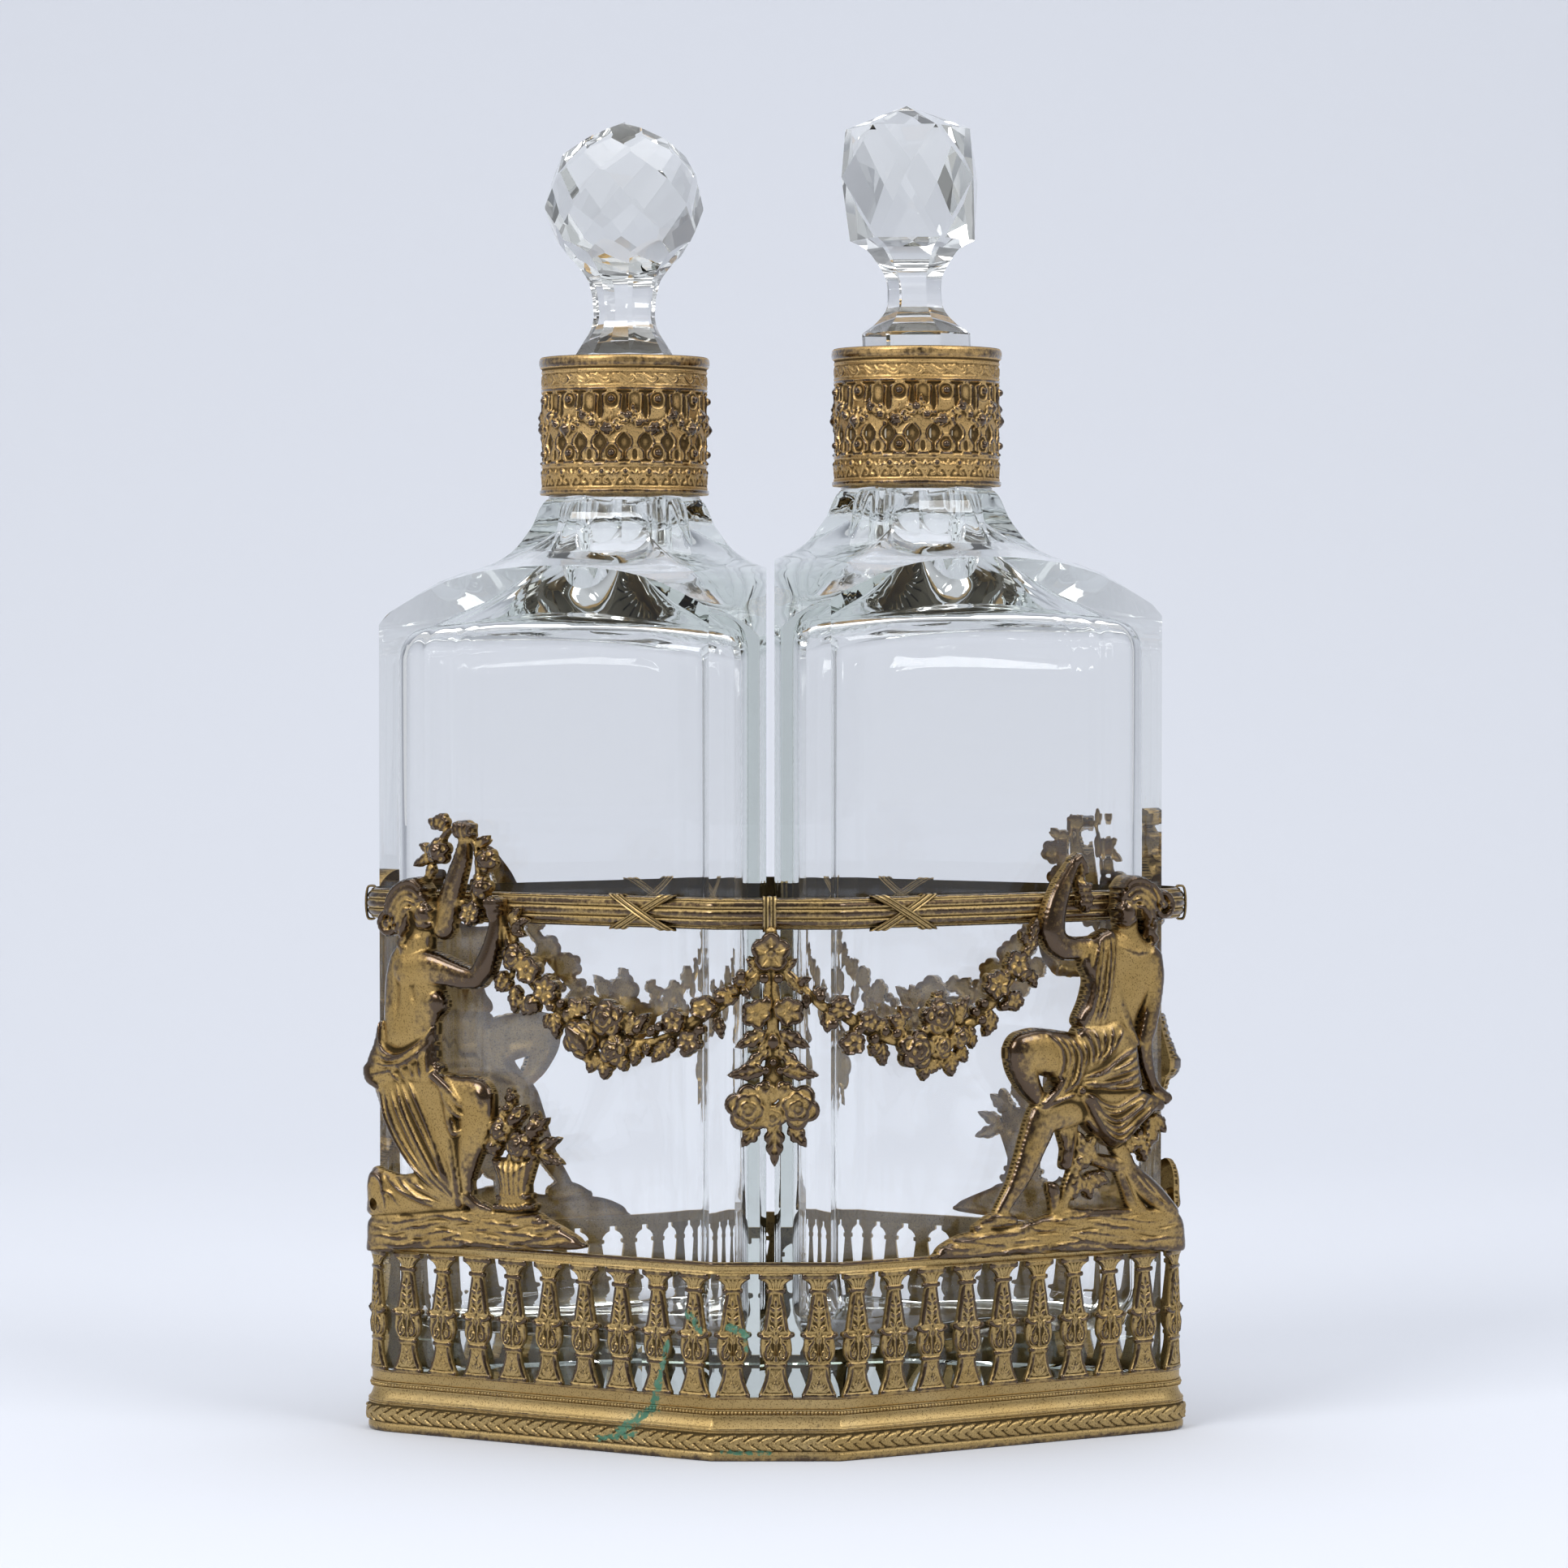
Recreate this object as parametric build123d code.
from build123d import *
import math
import os

os.makedirs("parts", exist_ok=True)

# Perfume caddy: an open stand of stamped brass that holds two cut glass bottles side by side.
# Origin at the middle of the base's underside, +X to the right, -Y to the front, +Z up.
# Millimetres, and degrees where a name says so.

# Plan of the stand: a long hexagon with rounded ends, drawn at the gallery's outermost face.
PITCH = 6.2  # from one baluster to the next
FACE_COUNT = 9  # balusters on each of the four long faces
FLAT_COUNT = 3  # balusters on the narrow face at front and back
FACE_ANGLE = 30.0  # degrees that a long face turns from the X axis
END_RADIUS = 6.3  # round of the plan at each end
SHEET = 0.9  # depth of the stamped strip, back to relief
FIT = 0.05  # between soldered pieces of the stand
SEAT = 0.1  # between a bottle and the plate that it stands on

# Base moulding, heights from the floor
TORUS_BOTTOM, TORUS_TOP, TORUS_PROUD = 1.3, 3.9, 0.75
FILLET_TOP, FILLET_PROUD = 4.8, 0.3
COVE_TOP, COVE_DEPTH = 6.5, 0.5
MOULDING_TOP = 7.4
BEAD_PROUD = 0.1
MOULDING_WALL = 0.6
FLANGE = 2.5  # the inner flanges' reach behind the strip
PLATE = 0.55  # thickness of the base plate

# Gallery, measured up from the top of the moulding
BAND_LOW, BALUSTER_HEIGHT, BAND_HIGH = 1.65, 17.85, 1.65
BAND_BACK = 0.3  # how far the plain bands lie behind the balusters' relief
BALUSTER_BEVEL = 0.4  # slope on each edge of a stamped baluster
# Half widths of a baluster: share of the height, half width. Foot, bulb, scrolls, shaft, cap.
BALUSTER = [
    (0.0, 2.43), (0.26, 1.45), (0.375, 2.33), (0.49, 2.1),
    (0.51, 2.72), (0.54, 1.93), (0.86, 1.15), (1.0, 2.43),
]
BALUSTER_SET_BACK = 0.15  # of the single baluster on each rounded end

# Rail of five reeds above the figures' shoulders
RAIL_BOTTOM, RAIL_HEIGHT, RAIL_PROUD = 76.4, 4.6, 0.4
REEDS, REED_PROUD = 5, 0.3
CLIP_WIDTH, CLIP_WALL = 2.0, 0.3
RIBBON_WIDTH, RIBBON_WALL, RIBBON_HALF_SPAN = 1.9, 0.3, 5.4
RIBBON_FROM_CENTRE = 20.5  # along the strip, front centre to the middle of a ribbon tie

# Glass bottles: each is half of a hexagon inside the stand
BOTTLE_INSET = 0.85  # from the gallery's back to the glass
MIDDLE_GAP = 1.2  # between the two bottles
APEX_SHY = 2.5  # from the end of the stand to the bottle's ground-off corner
BOTTLES_ASIDE = -0.8  # both bottles stand this far to one side, loose in the stand
GLASS_EDGE = 0.9  # ground bevel on the upright edges
NECK_X = 21.8  # neck axis from the middle of the stand
SHOULDER_Z = 129.3  # height of the shoulder beside the neck
RIGHT_RISE = 1.3  # the right bottle is this much taller
BROW_HEIGHT = 10.7  # from where the upright corner ends to the shoulder beside the neck
SHOULDER_FOOT = SHOULDER_Z - BROW_HEIGHT
# Swept shoulder, from the ground-off corner inwards: short of the corner, above its foot
SHOULDER_BROW = [(-3.0, -6.0), (-0.4, 0.0), (3.8, 4.5)]
# and on up to the neck: out from the neck, above the shoulder's height
SHOULDER_SWEEP = [(16.5, -2.7), (8.6, 0.0), (4.2, 1.9), (1.6, 5.0)]
WALL, FLOOR = 2.6, 7.0
ROOM_EDGE = 1.0  # bevel of the upright edges inside
NECK_STEP_RADIUS, NECK_STEP, NECK_STEP_DEPTH = 10.4, 1.4, 0.9
NECK_RADIUS = NECK_STEP_RADIUS + NECK_STEP_DEPTH
NECK_SWEEP_END = 1.0  # the sweep ends this far below the collar
LIP_GAP = 0.5  # from the neck's ground top to the collar's lip
BORE = 5.8
NECK_SIDES = 20  # two flats for each of the ten ground panels round the shoulder
PLUG_SIDES = 20
PLUG_TOP_RADIUS, PLUG_BOTTOM_RADIUS, PLUG_LENGTH, GRIND_GAP = 6.3, 5.6, 14.0, 0.12

# Brass neck collars
COLLAR_HEIGHT, COLLAR_WALL = 20.4, 0.5
SWEEP_HEIGHT = 10.2  # from the shoulder up to the collar
COLLAR_BOTTOM = SHOULDER_Z + SWEEP_HEIGHT
CEMENT_ROOM = 1.45  # from the ground neck to the inside of the collar
COLLAR_RADIUS = NECK_STEP_RADIUS + CEMENT_ROOM + COLLAR_WALL
COLLAR_RIM_PROUD, COLLAR_MOUTH = 0.4, 7.0
COLLAR_RIM, COLLAR_HEAD = 1.2, 4.2  # heights of the foot rim and of the head band
CEMENT_GAP = 0.05
BAYS, BAY_SIDES = 11, 2  # bays of the stamped arcade, and flats to a bay

# Stoppers, heights from the top of the collar
STOPPER_LIFT = 0.3
BALL_RADIUS, BALL_HEIGHT, BALL_TIP = 11.85, 22.7, 35.1
BALL_LEVELS_DEG = (-60, -32, 0, 32, 60)  # rows of corners on the ball
BALL_SIDES, HEX_SIDES = 8, 6
BALL_START_DEG, HEX_START_DEG = 22.5, -5.0  # first corner, from the X axis
STEM_FOOT_RADIUS, STEM_RADIUS, STEM_WAIST, STEM_WAIST_LENGTH = 7.4, 4.6, 7.1, 2.0
HEX_WAIST_RADIUS, HEX_RING_RADIUS, HEX_BELT_RADIUS = 4.05, 9.3, 11.3
HEX_FOOT_RADIUS, HEX_DISC = 8.07, 2.1
HEX_LEAN = -0.042  # the crown is ground askew by this much sideways for each millimetre up
HEX_WAIST, HEX_LOW_RING, HEX_BELT, HEX_HIGH_RING, HEX_TIP = 9.9, 16.2, 25.2, 32.8, 36.25

# Relief ornaments
ORNAMENT_THICK = 0.7  # edge thickness of a relief
ORNAMENT_SWELL = 0.42  # extra height of the relief for each millimetre of its half width
RELIEF_DRAFT_DEG = 30.0
FIGURE_GRID = 48.0  # the figures are drawn on a grid with this many steps from gallery to rail
SLENDER = 2.4  # limbs with half widths up to this many steps have four sides, thicker ones five
CLOTH = 1.6  # swell of the cloth, in steps
PENDANT_SHIFT = -0.9  # the bouquets hang a little off centre
ROSETTE_RADIUS = 3.0
TIE_GAP = 0.1  # between a festoon and the piece that it is tied to

# Worked out from the values above
COS, SIN = math.cos(math.radians(FACE_ANGLE)), math.sin(math.radians(FACE_ANGLE))
FLAT_HALF = FLAT_COUNT * PITCH / 2
FACE_LENGTH = FACE_COUNT * PITCH
HALF_DEPTH = FACE_LENGTH * SIN + END_RADIUS * COS
END_X = FLAT_HALF + FACE_LENGTH * COS - END_RADIUS * SIN
HALF_WIDTH = END_X + END_RADIUS
END_TURN = 90.0 - FACE_ANGLE
GALLERY_BOTTOM = MOULDING_TOP + FIT
BALUSTER_BOTTOM = GALLERY_BOTTOM + BAND_LOW
BALUSTER_TOP = BALUSTER_BOTTOM + BALUSTER_HEIGHT
GALLERY_TOP = BALUSTER_TOP + BAND_HIGH
PLATE_TOP = MOULDING_TOP + FIT + PLATE
BOTTLE_BOTTOM = PLATE_TOP + SEAT
RAIL_TOP = RAIL_BOTTOM + RAIL_HEIGHT
UNIT = (RAIL_BOTTOM - GALLERY_TOP) / FIGURE_GRID
FIGURE_BACK = RAIL_PROUD + 2 * FIT
PENDANT_BACK = RAIL_PROUD + CLIP_WALL + 2 * FIT
AXIS_UP = (0, 0, 1)


def strip_plane(side):
    """Plane of the strip's outermost face: x along it to the right, y up, z outwards."""
    if side == 0:
        return Plane(origin=(0, -HALF_DEPTH, 0), x_dir=(1, 0, 0), z_dir=(0, -1, 0))
    return Plane(
        origin=(side * FLAT_HALF, -HALF_DEPTH, 0), x_dir=(COS, side * SIN, 0), z_dir=(side * SIN, -COS, 0)
    )


def mitre_plane(side):
    """Upright plane through the corner of the narrow face and a long face, facing the stand's end."""
    half = math.radians(FACE_ANGLE / 2)
    towards_end = (side * math.cos(half), math.sin(half), 0)
    return Plane(origin=(side * FLAT_HALF, -HALF_DEPTH, 0), x_dir=AXIS_UP, z_dir=towards_end)


def section(points, origin, outwards):
    """Upright face drawn as (proud, z) points, with proud measured along outwards from origin."""
    plane = Plane(origin=origin, x_dir=outwards, z_dir=Vector(*outwards).cross(Vector(*AXIS_UP)))
    return plane * make_face(Polyline(*points, close=True))


def bent_strip(points):
    """Front half of a strip with one section, bent round the plan and mitred at the corners."""
    flat = extrude(section(points, (0, -HALF_DEPTH, 0), (0, -1, 0)), -2 * FLAT_HALF)
    flat = flat.split(mitre_plane(1), keep=Keep.BOTTOM)
    out = (SIN, -COS, 0)
    start = (FLAT_HALF - PITCH * COS, -HALF_DEPTH - PITCH * SIN, 0)
    face = extrude(section(points, start, out), -(FACE_LENGTH + PITCH))
    face = face.split(mitre_plane(1), keep=Keep.TOP)
    end_points = [(END_RADIUS + proud, z) for proud, z in points]
    end = revolve(section(end_points, (END_X, 0, 0), out), Axis((END_X, 0, 0), AXIS_UP), END_TURN)
    right = flat + face + end
    return right + mirror(right, about=Plane.YZ)


def turned(shape):
    """The back half of the stand is the front half turned half round."""
    return Rot(0, 0, 180) * shape


def plan_face(proud):
    """The whole plan as a face, moved outwards by proud."""
    radius = END_RADIUS + proud
    corner = FLAT_HALF + proud * math.tan(math.radians(FACE_ANGLE / 2))
    touch = (END_X + radius * SIN, radius * COS)
    depth = HALF_DEPTH + proud
    outline = [
        Line((-corner, -depth), (corner, -depth)),
        Line((corner, -depth), (touch[0], -touch[1])),
        ThreePointArc((touch[0], -touch[1]), (END_X + radius, 0), touch),
        Line(touch, (corner, depth)),
        Line((corner, depth), (-corner, depth)),
        Line((-corner, depth), (-touch[0], touch[1])),
        ThreePointArc((-touch[0], touch[1]), (-END_X - radius, 0), (-touch[0], -touch[1])),
        Line((-touch[0], -touch[1]), (-corner, -depth)),
    ]
    return make_face(outline)


def base_plate():
    """Sheet that the bottles stand on, laid on the moulding's inner flange."""
    return Pos(0, 0, MOULDING_TOP + FIT) * extrude(plan_face(-SHEET - 2 * FIT), PLATE)


def base_moulding():
    """Hollow stamped moulding: foot, leaf torus, fillet, cove and bead, with inner flanges."""
    torus_step = (TORUS_TOP - TORUS_BOTTOM) / 4
    back = -SHEET - FLANGE
    inner = FILLET_PROUD - MOULDING_WALL
    outer = [
        (back, 0),
        (FILLET_PROUD, 0),
        (FILLET_PROUD, TORUS_BOTTOM),
        (TORUS_PROUD, TORUS_BOTTOM + torus_step),
        (TORUS_PROUD, TORUS_TOP - torus_step),
        (FILLET_PROUD, TORUS_TOP),
        (FILLET_PROUD, FILLET_TOP),
        (-COVE_DEPTH, (FILLET_TOP + COVE_TOP) / 2),
        (-COVE_DEPTH, COVE_TOP),
        (BEAD_PROUD, COVE_TOP),
        (BEAD_PROUD, MOULDING_TOP),
        (back, MOULDING_TOP),
    ]
    hollow = [
        (back, MOULDING_TOP - MOULDING_WALL),
        (-COVE_DEPTH - MOULDING_WALL, MOULDING_TOP - MOULDING_WALL),
        (inner, FILLET_TOP - MOULDING_WALL),
        (inner, MOULDING_WALL),
        (back, MOULDING_WALL),
    ]
    return bent_strip(outer + hollow)


def solid_of(polygons):
    """Closed solid from flat polygons of (x, y, z) corners."""
    faces = [Face(Wire.make_polygon([Vector(*corner) for corner in polygon])) for polygon in polygons]
    return Solid(Shell(faces))


def baluster():
    """One stamped baluster in its own plane: x across, y up from its foot, z to the front."""
    right = [(half, share * BALUSTER_HEIGHT) for share, half in BALUSTER]
    outline = right + [(-x, y) for x, y in reversed(right)]
    back = [(x, y, -SHEET) for x, y in outline]
    front = [(x - math.copysign(BALUSTER_BEVEL, x), y, 0) for x, y in outline]
    sides = [[back[i - 1], back[i], front[i], front[i - 1]] for i in range(len(outline))]
    return solid_of([back, front] + sides)


def gallery():
    """Pierced gallery: plain bands below and above, and a row of balusters between them."""
    back, front = -SHEET, -BAND_BACK
    bands = [
        bent_strip([(back, low), (front, low), (front, high), (back, high)])
        for low, high in ((GALLERY_BOTTOM, BALUSTER_BOTTOM), (BALUSTER_TOP, GALLERY_TOP))
    ]
    one = baluster()
    row = []
    for i in range(FLAT_COUNT):
        row.append(strip_plane(0) * Pos((i + 0.5) * PITCH - FLAT_HALF, BALUSTER_BOTTOM, 0) * one)
    for side in (-1, 1):
        for i in range(FACE_COUNT):
            row.append(strip_plane(side) * Pos(side * (i + 0.5) * PITCH, BALUSTER_BOTTOM, 0) * one)
        turn = math.radians(END_TURN / 2)
        out = (side * math.cos(turn), -math.sin(turn), 0)
        reach = END_RADIUS - BALUSTER_SET_BACK
        origin = (side * END_X + reach * out[0], reach * out[1], 0)
        end_plane = Plane(origin=origin, x_dir=Vector(*AXIS_UP).cross(Vector(*out)), z_dir=out)
        row.append(end_plane * Pos(0, BALUSTER_BOTTOM, 0) * one)
    return bands[0] + bands[1:] + row


def reed_points():
    """Front of the rail's section, from bottom to top: reeds on a half ellipse."""
    middle, half_height = RAIL_BOTTOM + RAIL_HEIGHT / 2, RAIL_HEIGHT / 2
    depth = SHEET + RAIL_PROUD - REED_PROUD
    points = []
    for i in range(REEDS):
        for share, lift in ((0.0, 0.0), (0.5, 1.0)):
            angle = math.radians(-90 + (i + share) * 180 / REEDS)
            reach = depth + REED_PROUD * lift
            points.append((-SHEET + reach * math.cos(angle), middle + half_height * math.sin(angle)))
    return points + [(-SHEET, RAIL_TOP)]


def rail():
    """Half round reeded rail, flat at the back."""
    return bent_strip(reed_points())


def clip_loop():
    """Section of a thin strap closed round the rail, as outer and inner corners."""
    outer = FIT + CLIP_WALL
    return [
        [
            (-SHEET - grow, RAIL_BOTTOM - grow),
            (RAIL_PROUD + grow, RAIL_BOTTOM - grow),
            (RAIL_PROUD + grow, RAIL_TOP + grow),
            (-SHEET - grow, RAIL_TOP + grow),
        ]
        for grow in (outer, FIT)
    ]


def rail_clip_flat():
    """Clip round the rail at the front centre."""
    outer, inner = [section(loop, (0, -HALF_DEPTH, 0), (0, -1, 0)) for loop in clip_loop()]
    return Pos(PENDANT_SHIFT, 0, 0) * extrude(outer - inner, CLIP_WIDTH / 2, both=True)


def rail_clip_end():
    """Clip round the rail at the right-hand end, where its two halves meet."""
    half_turn = math.degrees(CLIP_WIDTH / 2 / END_RADIUS)
    out = (math.cos(math.radians(half_turn)), -math.sin(math.radians(half_turn)), 0)
    loops = [[(END_RADIUS + proud, z) for proud, z in loop] for loop in clip_loop()]
    outer, inner = [section(loop, (END_X, 0, 0), out) for loop in loops]
    return revolve(outer - inner, Axis((END_X, 0, 0), AXIS_UP), 2 * half_turn)


def ribbon_tie(side):
    """Two ribbons crossed on the front of the rail and closed behind it."""
    plane = strip_plane(side)
    centre = side * (RIBBON_FROM_CENTRE - FLAT_HALF)
    low, high = RAIL_BOTTOM - FIT - RIBBON_WALL, RAIL_TOP + FIT + RIBBON_WALL
    front = RAIL_PROUD + FIT
    back = -SHEET - FIT - RIBBON_WALL
    half, reach = RIBBON_WIDTH / 2, RIBBON_HALF_SPAN - RIBBON_WIDTH / 2
    pieces = []
    for lean in (-1, 1):
        top, bottom = centre + lean * reach, centre - lean * reach
        corners = [(bottom - half, low), (bottom + half, low), (top + half, high), (top - half, high)]
        band = extrude(make_face(Polyline(*corners, close=True)), RIBBON_WALL)
        pieces += [plane.offset(front) * band, plane.offset(back) * band]
        depth = front + RIBBON_WALL - back
        for x, z in ((top, high - RIBBON_WALL / 2), (bottom, low + RIBBON_WALL / 2)):
            strap = Box(RIBBON_WIDTH, RIBBON_WALL, depth)
            pieces.append(plane * Pos(x, z, back + depth / 2) * strap)
    return pieces[0] + pieces[1:]


def ring_points(x, y, radius, sides):
    """Corners of a regular polygon about a point."""
    angles = [(k + 0.5) * 2 * math.pi / sides for k in range(sides)]
    return [(x + radius * math.cos(angle), y + radius * math.sin(angle)) for angle in angles]


def hull(points):
    """Convex outline round points, anticlockwise."""
    ordered = sorted(set(points))

    def chain(sequence):
        kept = []
        for p in sequence:
            while len(kept) > 1:
                (ax, ay), (bx, by) = kept[-2], kept[-1]
                if (bx - ax) * (p[1] - ay) - (by - ay) * (p[0] - ax) > 1e-9:
                    break
                kept.pop()
            kept.append(p)
        return kept[:-1]

    return chain(ordered) + chain(reversed(ordered))


def relief(plane, outline, half_width, back, draft=RELIEF_DRAFT_DEG):
    """Bevelled relief on a plane: its height grows with its half width."""
    height = ORNAMENT_THICK + ORNAMENT_SWELL * half_width
    face = make_face(Polyline(*outline, close=True))
    return plane.offset(back) * extrude(face, height, taper=draft)


def limb(plane, start, finish, back, sides=4):
    """Tapered limb from one (x, y, radius) to another."""
    outline = hull(ring_points(*start, sides) + ring_points(*finish, sides))
    return relief(plane, outline, max(start[2], finish[2]), back)


def boss(plane, centre, back, sides=5):
    """Rose, knot or leaf at (x, y, radius), drawn as a bevelled polygon."""
    return relief(plane, ring_points(*centre, sides), centre[2], back)


# Figures are drawn on a grid: p steps inwards from the outer end of a long face, q steps up from
# the gallery's top, and half widths in the same steps.
KNEELING_LIMBS = [
    ((7.4, 50.3, 3.9), (7.2, 49.5, 3.9)),  # head
    ((3.2, 46.2, 1.9), (5.4, 47.6, 2.0)),  # knot of hair
    ((8.4, 46.5, 2.1), (7.2, 42.5, 2.4)),  # neck
    ((6.8, 39.6, 4.3), (6.0, 31.0, 3.7)),  # chest to waist
    ((6.0, 31.0, 3.8), (4.9, 24.5, 5.0)),  # waist to hip
    ((11.4, 48.0, 2.8), (15.6, 60.6, 1.9)),  # raised arm and hand
    ((8.0, 41.0, 2.3), (17.6, 40.0, 2.1)),  # upper arm held level
    ((17.6, 40.0, 2.1), (21.1, 49.8, 1.6)),  # forearm and hand
    ((5.5, 21.6, 5.4), (14.6, 21.0, 4.6)),  # thigh under cloth
    ((15.4, 19.0, 3.8), (15.9, 8.6, 1.5)),  # shin
    ((15.8, 7.0, 1.5), (19.4, 5.6, 0.9)),  # foot
]
KNEELING_CLOTH = [
    [
        (-0.6, 25.2), (0.6, 20.0), (3.6, 15.4), (12.7, 8.0),
        (14.8, 6.0), (14.4, 12.0), (12.7, 20.0), (10.0, 25.0),
    ],
    [(-1.6, 9.6), (-0.2, 11.2), (9.8, 10.9), (15.5, 6.9), (15.0, 4.0), (-2.0, 4.0)],
]
KNEELING_BASKET = [
    (20.6, 5.0), (27.4, 5.0), (26.4, 7.4), (26.0, 10.2),
    (28.6, 14.2), (19.6, 14.2), (21.6, 10.2), (21.4, 7.4),
]
KNEELING_FLOWERS = [
    (22.4, 16.4, 2.5), (26.6, 15.6, 2.7), (24.6, 20.0, 2.2), (29.8, 17.0, 2.3),
    (11.0, 62.2, 2.0), (11.0, 58.6, 2.4), (8.6, 56.0, 2.2),
    (19.2, 57.2, 2.2), (18.6, 53.4, 2.3), (18.2, 49.8, 2.1),
]
KNEELING_STEMS = [
    ((11.0, 62.2, 1.0), (16.0, 60.0, 1.0)), ((16.0, 60.0, 1.0), (19.2, 57.2, 1.0)),
]
KNEELING_MOUND = [
    (-2.5, 0.0), (35.2, 0.0), (33.6, 2.2), (27.5, 5.8), (12.7, 5.4), (-0.3, 4.8), (-2.2, 3.2),
]

SEATED_LIMBS = [
    ((8.2, 50.9, 3.8), (8.0, 50.1, 3.8)),  # head
    ((4.2, 50.4, 2.1), (5.4, 50.4, 2.0)),  # knot of hair
    ((8.5, 47.0, 2.2), (8.2, 43.0, 2.4)),  # neck
    ((8.4, 41.0, 4.6), (9.6, 34.0, 4.2)),  # chest to waist
    ((9.8, 34.0, 4.4), (12.6, 27.4, 5.0)),  # waist to hip
    ((13.2, 44.4, 1.9), (20.4, 44.4, 2.3)),  # upper arm held level
    ((20.8, 45.6, 2.2), (17.2, 56.2, 1.5)),  # forearm and hand
    ((4.7, 41.6, 2.0), (4.6, 31.8, 1.7)),  # hanging upper arm
    ((4.6, 31.8, 1.7), (3.8, 21.4, 1.4)),  # hanging forearm and hand
    ((13.4, 26.4, 5.2), (24.4, 28.8, 4.2)),  # thigh
    ((24.6, 28.0, 4.0), (22.6, 22.0, 1.7)),  # crossed shin under cloth
    ((20.0, 19.4, 3.0), (27.6, 12.8, 1.9)),  # lower knee and shin
    ((27.6, 12.8, 1.9), (31.6, 7.0, 1.2)),  # ankle
    ((29.2, 5.8, 1.4), (34.4, 4.4, 0.9)),  # foot
]
SEATED_CLOTH = [
    [(21.6, 21.6), (16.5, 17.2), (11.2, 15.6), (5.8, 18.4), (5.2, 20.6), (8.6, 28.0), (17.5, 28.0)],
    [(17.5, 33.4), (16.4, 40.0), (14.6, 45.4), (11.2, 45.6), (9.6, 31.0)],
    [(19.6, 19.0), (16.4, 18.0), (16.8, 11.8), (19.2, 11.8)],
]
SEATED_STUMP = [
    ((6.0, 19.0, 1.7), (6.8, 12.4, 1.9)),
    ((6.0, 12.0, 1.4), (15.6, 12.6, 1.6)),
    ((6.6, 11.6, 1.6), (1.0, 4.8, 1.5)),
    ((15.8, 12.6, 1.6), (20.4, 4.8, 1.5)),
]
SEATED_FLOWERS = [(13.9, 10.0, 2.2), (20.2, 8.2, 1.9), (16.4, 50.8, 2.0)]
SEATED_STEMS = [((17.2, 55.0, 1.5), (16.0, 48.0, 1.2))]
SEATED_MOUND = [
    (-2.5, 0.0), (40.3, 0.0), (35.5, 3.6), (28.5, 5.0), (21.5, 5.2), (0.6, 5.4), (-2.2, 3.2),
]


def figure(side, limbs, cloth, bosses, stems, mound):
    """One relief figure on its mound, soldered to the gallery's top and reaching over the rail."""
    plane = strip_plane(side)

    def spot(p, q):
        return (side * (FACE_LENGTH - p * UNIT), GALLERY_TOP + FIT + q * UNIT)

    def bud(p, q, radius):
        return (*spot(p, q), radius * UNIT)

    pieces = []
    for start, finish in limbs + stems:
        sides = 5 if max(start[2], finish[2]) > SLENDER else 4
        pieces.append(limb(plane, bud(*start), bud(*finish), FIGURE_BACK, sides))
    for outline in cloth:
        pieces.append(relief(plane, [spot(*p) for p in outline], CLOTH * UNIT, FIGURE_BACK, 0.0))
    pieces += [boss(plane, bud(*flower), FIGURE_BACK) for flower in bosses]
    ground = make_face(Polyline(*[spot(*p) for p in mound], close=True))
    pieces.append(plane.offset(-SHEET) * extrude(ground, SHEET + FIGURE_BACK + ORNAMENT_THICK))
    return pieces[0] + pieces[1:]


def kneeling_figure(side):
    """Kneeling figure with a rose garland over one shoulder and a basket of flowers."""
    cloth = KNEELING_CLOTH + [KNEELING_BASKET]
    return figure(side, KNEELING_LIMBS, cloth, KNEELING_FLOWERS, KNEELING_STEMS, KNEELING_MOUND)


def seated_figure(side):
    """Seated figure that holds up grapes and leans on a stump with vine leaves."""
    limbs = SEATED_LIMBS + SEATED_STUMP
    return figure(side, limbs, SEATED_CLOTH, SEATED_FLOWERS, SEATED_STEMS, SEATED_MOUND)


# Festoons: share of the way from the rosette to the figure, drop below the rail, half width
FESTOON_LEFT = [
    (0.07, 5.6, 1.6), (0.17, 9.2, 1.9), (0.28, 13.2, 2.1), (0.42, 14.6, 2.3), (0.53, 16.6, 2.8),
    (0.65, 17.8, 3.1), (0.78, 15.0, 2.4), (0.89, 11.2, 2.1), (0.955, 6.6, 2.0), (0.965, 3.2, 2.1),
    (0.97, -0.4, 1.9),
]
FESTOON_RIGHT = [
    (0.07, 6.2, 1.6), (0.15, 10.4, 1.9), (0.24, 14.4, 2.1), (0.37, 15.6, 2.4), (0.5, 17.6, 3.1),
    (0.65, 15.4, 2.6), (0.78, 12.2, 2.3), (0.89, 8.0, 2.0), (0.96, 4.0, 1.5), (0.985, 1.6, 1.1),
]
FESTOON_TIP, FESTOON_TIP_HALF = 1.7, 1.13  # hanging leaf: below the lowest rose, and its half width
FESTOON_NECK = 0.55  # width of the stem between roses, as a share of theirs
KNEELING_REACH, SEATED_REACH = 22.8, 23.2  # grid steps from the outer end to the festoon's tie


def over_corner(side, low, high, build):
    """Build a piece on the narrow face, the long face or both, mitred where it crosses the corner."""
    pieces = []
    if low < FLAT_HALF:
        piece = build(strip_plane(0), 0.0)
        pieces.append(piece.split(mitre_plane(side), keep=Keep.BOTTOM) if high > FLAT_HALF else piece)
    if high > FLAT_HALF:
        piece = build(strip_plane(side), FLAT_HALF)
        pieces.append(piece.split(mitre_plane(side), keep=Keep.TOP) if low < FLAT_HALF else piece)
    return pieces


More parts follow.
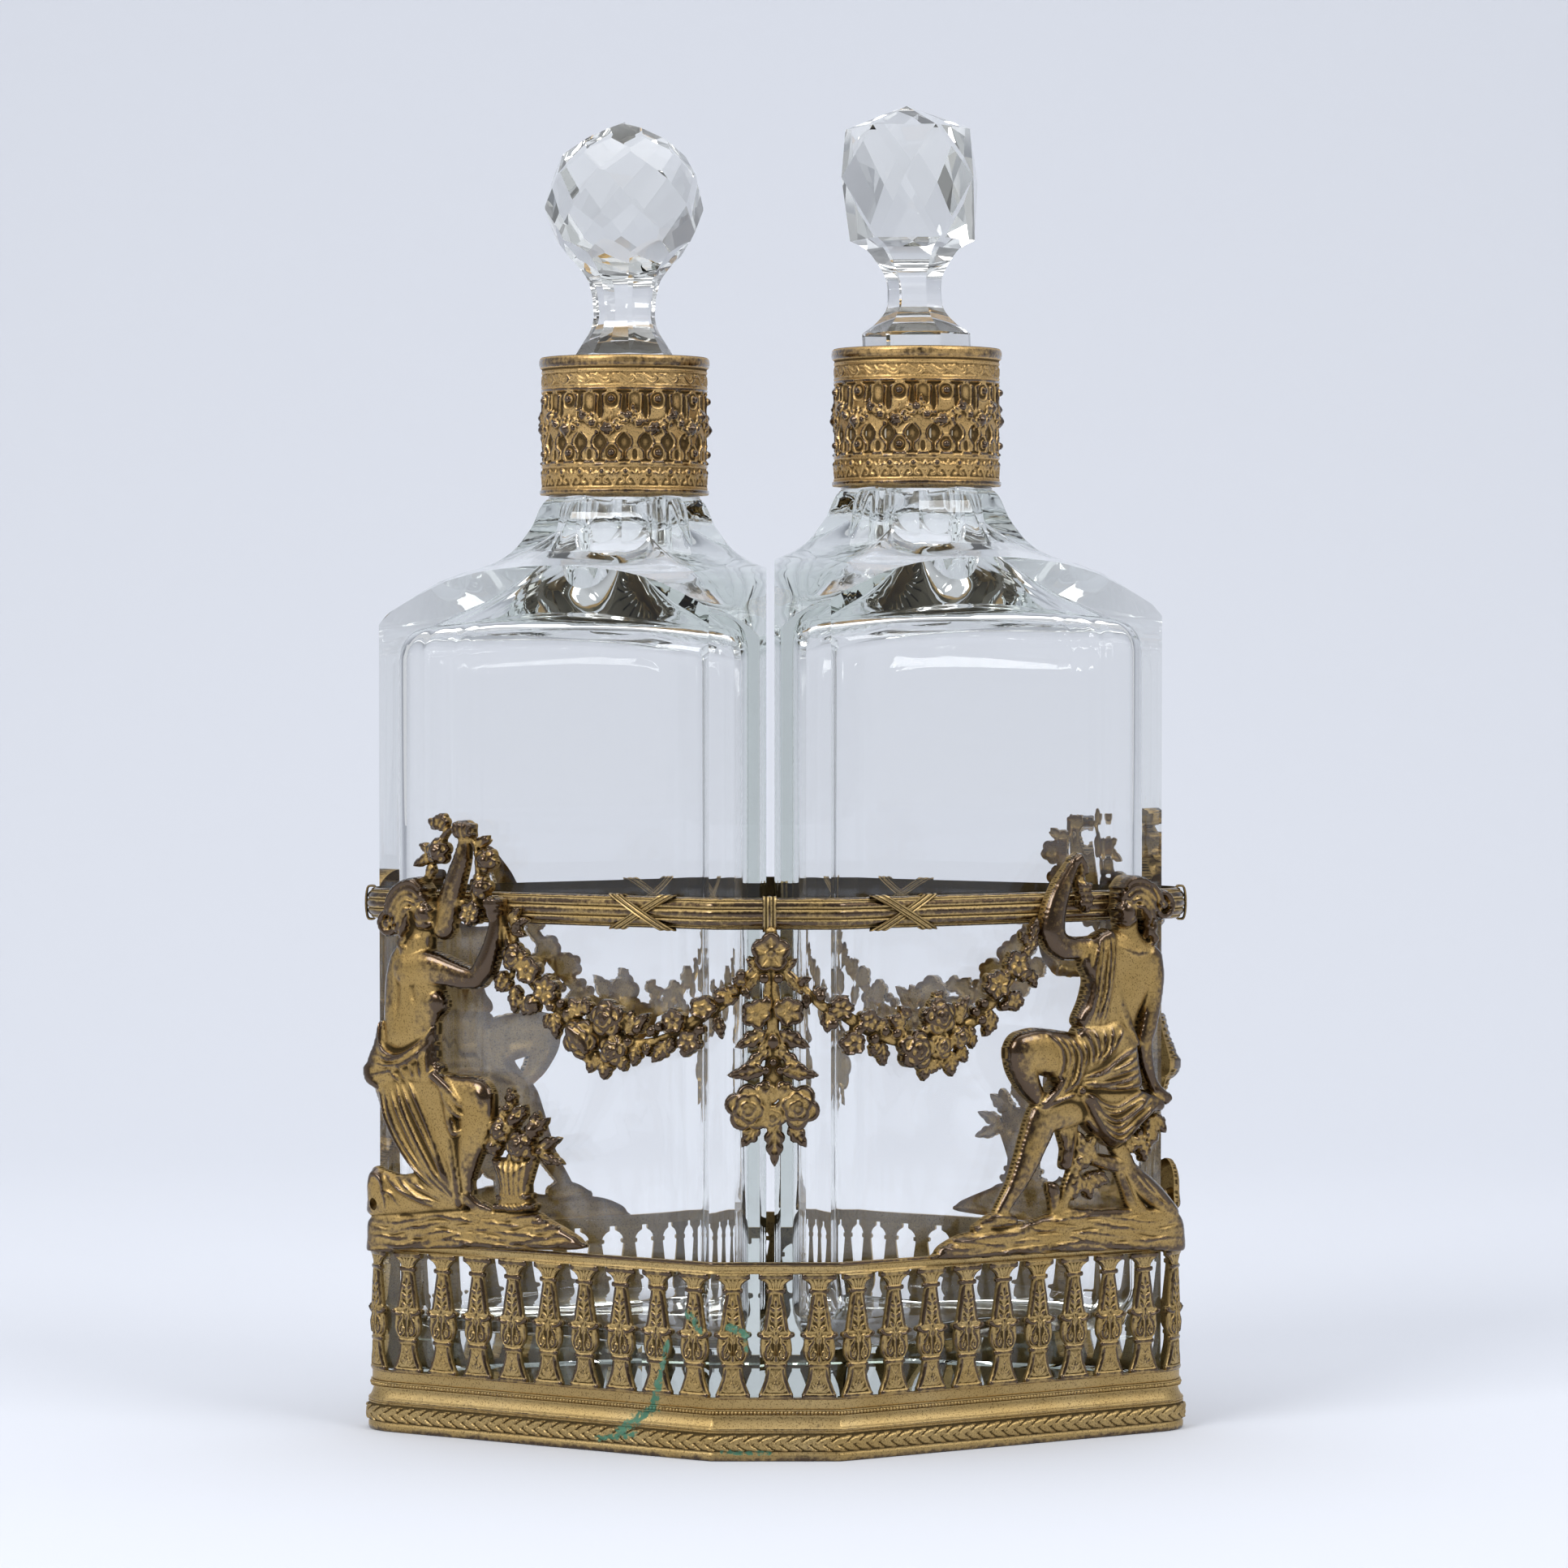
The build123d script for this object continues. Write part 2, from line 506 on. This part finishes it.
def festoon(side, beads, reach):
    """Festoon of roses from the rosette's edge to the figure, hung below the rail."""
    start = ROSETTE_RADIUS + PENDANT_SHIFT * side + TIE_GAP
    finish = FLAT_HALF + FACE_LENGTH - reach * UNIT - TIE_GAP
    length = finish - start
    places = [(start + share * length, RAIL_BOTTOM - drop, radius) for share, drop, radius in beads]
    low_bead = min(places, key=lambda place: place[1])
    tip = (low_bead[0], low_bead[1] - low_bead[2] - FESTOON_TIP, FESTOON_TIP_HALF)
    pieces = []

    def add(form, sides, *ends):
        def build(plane, offset):
            local = [(side * (s - offset), z, radius) for s, z, radius in ends]
            return form(plane, *local, FIGURE_BACK, sides)

        reach_low = min(s - radius for s, z, radius in ends)
        reach_high = max(s + radius for s, z, radius in ends)
        pieces.extend(over_corner(side, reach_low, reach_high, build))

    for a, b in zip(places, places[1:]):
        add(limb, 4, (a[0], a[1], a[2] * FESTOON_NECK), (b[0], b[1], b[2] * FESTOON_NECK))
    for place in places:
        add(boss, 5, place)
    add(limb, 4, (low_bead[0], low_bead[1], low_bead[2] * FESTOON_NECK), tip)
    long_face = strip_plane(side)
    tie = long_face.from_local_coords((side * (finish - FLAT_HALF), 0, 0))
    figure_side = Plane(origin=tie, x_dir=AXIS_UP, z_dir=side * long_face.x_dir)
    whole = (pieces[0] + pieces[1:]).split(figure_side, keep=Keep.BOTTOM)
    rosette_room = Cylinder(ROSETTE_RADIUS + TIE_GAP, HALF_DEPTH)
    return whole - strip_plane(0) * Pos(PENDANT_SHIFT, RAIL_BOTTOM - ROSETTE_RADIUS, 0) * rosette_room


# Hanging bouquet: x from its centre line, drop below the rail, half width
PENDANT_FLOWERS = [
    (-2.6, 11.2, 1.9), (2.6, 11.2, 1.9), (0.0, 14.4, 1.9), (-4.0, 16.0, 1.4), (4.4, 16.0, 1.4),
    (0.0, 19.4, 2.3), (-3.2, 22.4, 2.7), (3.2, 22.4, 2.7), (-4.2, 26.0, 2.2), (4.2, 26.0, 2.2),
]
STEM_SIDES = 4
PENDANT_STEMS = [
    ((0.0, 3.0, 0.9), (0.0, 19.0, 0.9)), ((-2.6, 11.2, 1.0), (2.6, 11.2, 1.0)),
    ((-4.4, 16.0, 1.0), (4.6, 16.0, 1.0)), ((0.0, 20.0, 2.6), (0.0, 26.0, 4.6)),
    ((0.0, 27.0, 2.0), (0.6, 32.6, 0.9)),
]


def pendant():
    """Rosette below the rail's clip, and the bouquet that hangs from it."""
    plane = strip_plane(0)
    rosette = (PENDANT_SHIFT, RAIL_BOTTOM - ROSETTE_RADIUS, ROSETTE_RADIUS)
    pieces = [boss(plane, rosette, PENDANT_BACK, sides=10)]
    for start, finish in PENDANT_STEMS:
        ends = [(PENDANT_SHIFT + x, RAIL_BOTTOM - drop, radius) for x, drop, radius in (start, finish)]
        pieces.append(limb(plane, *ends, PENDANT_BACK, STEM_SIDES))
    for x, drop, radius in PENDANT_FLOWERS:
        pieces.append(boss(plane, (PENDANT_SHIFT + x, RAIL_BOTTOM - drop, radius), PENDANT_BACK))
    return pieces[0] + pieces[1:]


def faceted(rings, sides, start_deg, lean=0.0):
    """Closed solid through rings of corners (radius, z, half steps of turn); radius 0 is a point."""

    def corner(ring, k):
        radius, z, turn = ring
        angle = math.radians(start_deg + (k + turn / 2) * 360 / sides)
        aside = lean * (z - rings[0][1])
        return (radius * math.cos(angle) + aside, radius * math.sin(angle), z)

    polygons = [[corner(rings[0], k) for k in range(sides)]]
    if rings[-1][0] > 0:
        polygons.append([corner(rings[-1], k) for k in range(sides)])
    for low, high in zip(rings, rings[1:]):
        for k in range(sides):
            a, b = corner(low, k), corner(low, k + 1)
            c, d = corner(high, k), corner(high, k + 1)
            if high[0] == 0:
                polygons.append([a, b, c])
            elif high[2] == low[2]:
                polygons.append([a, b, d, c])
            elif high[2] > low[2]:
                polygons += [[a, b, c], [b, d, c]]
            else:
                polygons += [[a, d, c], [a, b, d]]
    return solid_of(polygons)


def round_solid(rings, sides):
    """Closed solid of revolution through (radius, z) rings, ground as flats."""
    return faceted([(radius, z, 0) for radius, z in rings], sides, 0.0)


def bottle_prism(inset, edge, bottom, top):
    """Upright half hexagon, moved inwards from the glass by inset, with bevelled edges."""
    distance = SIN * FLAT_HALF + COS * HALF_DEPTH - SHEET - BOTTLE_INSET - inset
    depth = HALF_DEPTH - SHEET - BOTTLE_INSET - inset
    apex = HALF_WIDTH - APEX_SHY - inset
    middle = MIDDLE_GAP / 2 + inset
    corner = (distance - COS * depth) / SIN
    apex_half = (distance - SIN * apex) / COS
    front = [(middle, -depth), (corner, -depth), (apex, -apex_half)]
    back = [(x, -y) for x, y in reversed(front)]
    prism = extrude(make_face(Polyline(*front, *back, close=True)), top - bottom)
    prism = chamfer(prism.edges().filter_by(Axis.Z), edge)
    return Pos(0, 0, bottom) * prism


def shoulder_rings(rise, wall):
    """Rings of the swept shoulder, from below the corner's foot to the neck, moved inwards by wall."""
    reach = HALF_WIDTH - APEX_SHY - NECK_X - wall
    rings = [(reach - short, SHOULDER_FOOT + rise - wall + up) for short, up in SHOULDER_BROW]
    rings += [(NECK_RADIUS - wall + out, SHOULDER_Z + rise - wall + up) for out, up in SHOULDER_SWEEP]
    return [(rings[0][0], BOTTLE_BOTTOM)] + rings


def lip_underside(rise):
    """Height of the underside of a collar's lip."""
    return COLLAR_BOTTOM + rise + COLLAR_HEIGHT - COLLAR_RIM_PROUD - COLLAR_WALL


def glass_bottle(rise):
    """Right-hand bottle: blown half hexagon with a swept shoulder, hollow, with a ground taper neck."""
    top = lip_underside(rise) - LIP_GAP
    collar = COLLAR_BOTTOM + rise
    neck = [(NECK_RADIUS, collar - NECK_SWEEP_END), (NECK_RADIUS, collar + NECK_STEP)]
    neck += [(NECK_STEP_RADIUS, collar + NECK_STEP), (NECK_STEP_RADIUS, top)]
    form = round_solid(shoulder_rings(rise, 0.0) + neck, NECK_SIDES)
    body = bottle_prism(0.0, GLASS_EDGE, BOTTLE_BOTTOM, top) & Pos(NECK_X, 0, 0) * form
    funnel = (BORE, SHOULDER_Z + rise + WALL)
    roof = round_solid(shoulder_rings(rise, WALL)[:-1] + [funnel], NECK_SIDES)
    room = bottle_prism(WALL, ROOM_EDGE, BOTTLE_BOTTOM + FLOOR, top) & Pos(NECK_X, 0, 0) * roof
    bore = round_solid([(BORE, SHOULDER_Z + rise), (BORE, top + WALL)], PLUG_SIDES)
    seat = Pos(0, 0, collar + COLLAR_HEIGHT + STOPPER_LIFT) * plug(GRIND_GAP)
    return body - room - Pos(NECK_X, 0, 0) * (bore + seat)


def plug(grow):
    """Ground taper below a stopper, its top at the origin, grown by grow for the seat."""
    rings = [(PLUG_BOTTOM_RADIUS + grow, -PLUG_LENGTH), (PLUG_TOP_RADIUS + grow, 0)]
    return round_solid(rings, PLUG_SIDES)


def neck_collar(rise):
    """Stamped collar over the right-hand neck: foot rim, arcade wall, head band and a turned-in lip."""
    low, high = COLLAR_BOTTOM + rise, COLLAR_BOTTOM + rise + COLLAR_HEIGHT
    rim = COLLAR_RADIUS + COLLAR_RIM_PROUD
    inner = COLLAR_RADIUS - COLLAR_WALL
    outside = [
        (rim, low), (rim, low + COLLAR_RIM), (COLLAR_RADIUS, low + COLLAR_RIM + COLLAR_RIM_PROUD),
        (COLLAR_RADIUS, high - COLLAR_HEAD), (rim, high - COLLAR_HEAD + COLLAR_RIM_PROUD),
        (rim, high - COLLAR_RIM_PROUD), (rim - COLLAR_RIM_PROUD, high),
    ]
    sides = BAYS * BAY_SIDES
    shell = round_solid(outside, sides)
    shell -= round_solid([(inner, low), (inner, lip_underside(rise))], sides)
    shell -= round_solid([(COLLAR_MOUTH, low), (COLLAR_MOUTH, high)], sides)
    return Pos(NECK_X, 0, 0) * shell


def collar_cement(rise):
    """Ring of cement between a glass neck and its collar."""
    outer = COLLAR_RADIUS - COLLAR_WALL - CEMENT_GAP
    inner = NECK_STEP_RADIUS + CEMENT_GAP
    ends = (COLLAR_BOTTOM + rise + NECK_STEP + CEMENT_GAP, lip_underside(rise) - LIP_GAP)
    ring = round_solid([(outer, z) for z in ends], BAYS * BAY_SIDES)
    return Pos(NECK_X, 0, 0) * (ring - round_solid([(inner, z) for z in ends], NECK_SIDES))


def stopper_left():
    """Stopper cut as a lattice of lozenges over a ball, on a faceted stem and a ground plug."""
    foot = COLLAR_BOTTOM + COLLAR_HEIGHT + STOPPER_LIFT
    top = COLLAR_BOTTOM + COLLAR_HEIGHT
    ball = []
    for level in BALL_LEVELS_DEG:
        out, up = math.cos(math.radians(level)), math.sin(math.radians(level))
        ball.append((BALL_RADIUS * out, top + BALL_HEIGHT + BALL_RADIUS * up))
    rings = [
        (STEM_FOOT_RADIUS, foot, 0),
        (STEM_RADIUS, top + STEM_WAIST, 0),
        (STEM_RADIUS, top + STEM_WAIST + STEM_WAIST_LENGTH, 0),
    ]
    rings += [(radius, z, i % 2) for i, (radius, z) in enumerate(ball)]
    rings.append((0, top + BALL_TIP, 0))
    whole = faceted(rings, BALL_SIDES, BALL_START_DEG) + Pos(0, 0, foot) * plug(0.0)
    return Pos(BOTTLES_ASIDE - NECK_X, 0, 0) * whole


def stopper_right():
    """Stopper cut as a many-sided ball of triangles, on a six-sided stem and a ground plug."""
    top = COLLAR_BOTTOM + RIGHT_RISE + COLLAR_HEIGHT
    foot = top + STOPPER_LIFT
    rings = [
        (HEX_FOOT_RADIUS, foot, 0),
        (HEX_FOOT_RADIUS, foot + HEX_DISC, 0),
        (HEX_WAIST_RADIUS, top + HEX_WAIST, 0),
        (HEX_RING_RADIUS, top + HEX_LOW_RING, 0),
        (HEX_BELT_RADIUS, top + HEX_BELT, 1),
        (HEX_RING_RADIUS, top + HEX_HIGH_RING, 0),
        (0, top + HEX_TIP, 0),
    ]
    whole = faceted(rings, HEX_SIDES, HEX_START_DEG, HEX_LEAN) + Pos(0, 0, foot) * plug(0.0)
    return Pos(BOTTLES_ASIDE + NECK_X, 0, 0) * whole


def write(name, shape):
    """Write one sub-part to its own STEP file."""
    shape.label = name
    export_step(shape, os.path.join("parts", name + ".step"))


def write_pair(name, shape):
    """Write a piece of the stand's front and the same piece at the back."""
    write(name + "_front", shape)
    write(name + "_back", turned(shape))


write("base_plate", base_plate())
write_pair("base_moulding", base_moulding())
write_pair("gallery", gallery())
write_pair("rail", rail())
write_pair("rail_clip", rail_clip_flat())
write("rail_clip_right", rail_clip_end())
write("rail_clip_left", turned(rail_clip_end()))
write_pair("figure_kneeling", kneeling_figure(-1))
write_pair("figure_seated", seated_figure(1))
write_pair("pendant", pendant())
for side, word in ((-1, "left"), (1, "right")):
    write_pair("ribbon_tie_" + word, ribbon_tie(side))
write_pair("festoon_left", festoon(-1, FESTOON_LEFT, KNEELING_REACH))
write_pair("festoon_right", festoon(1, FESTOON_RIGHT, SEATED_REACH))
for word, rise, turn in (("left", 0.0, 180), ("right", RIGHT_RISE, 0)):
    place = Pos(BOTTLES_ASIDE, 0, 0) * Rot(0, 0, turn)
    write("glass_bottle_" + word, place * glass_bottle(rise))
    write("neck_collar_" + word, place * neck_collar(rise))
    write("collar_cement_" + word, place * collar_cement(rise))
write("stopper_left", stopper_left())
write("stopper_right", stopper_right())
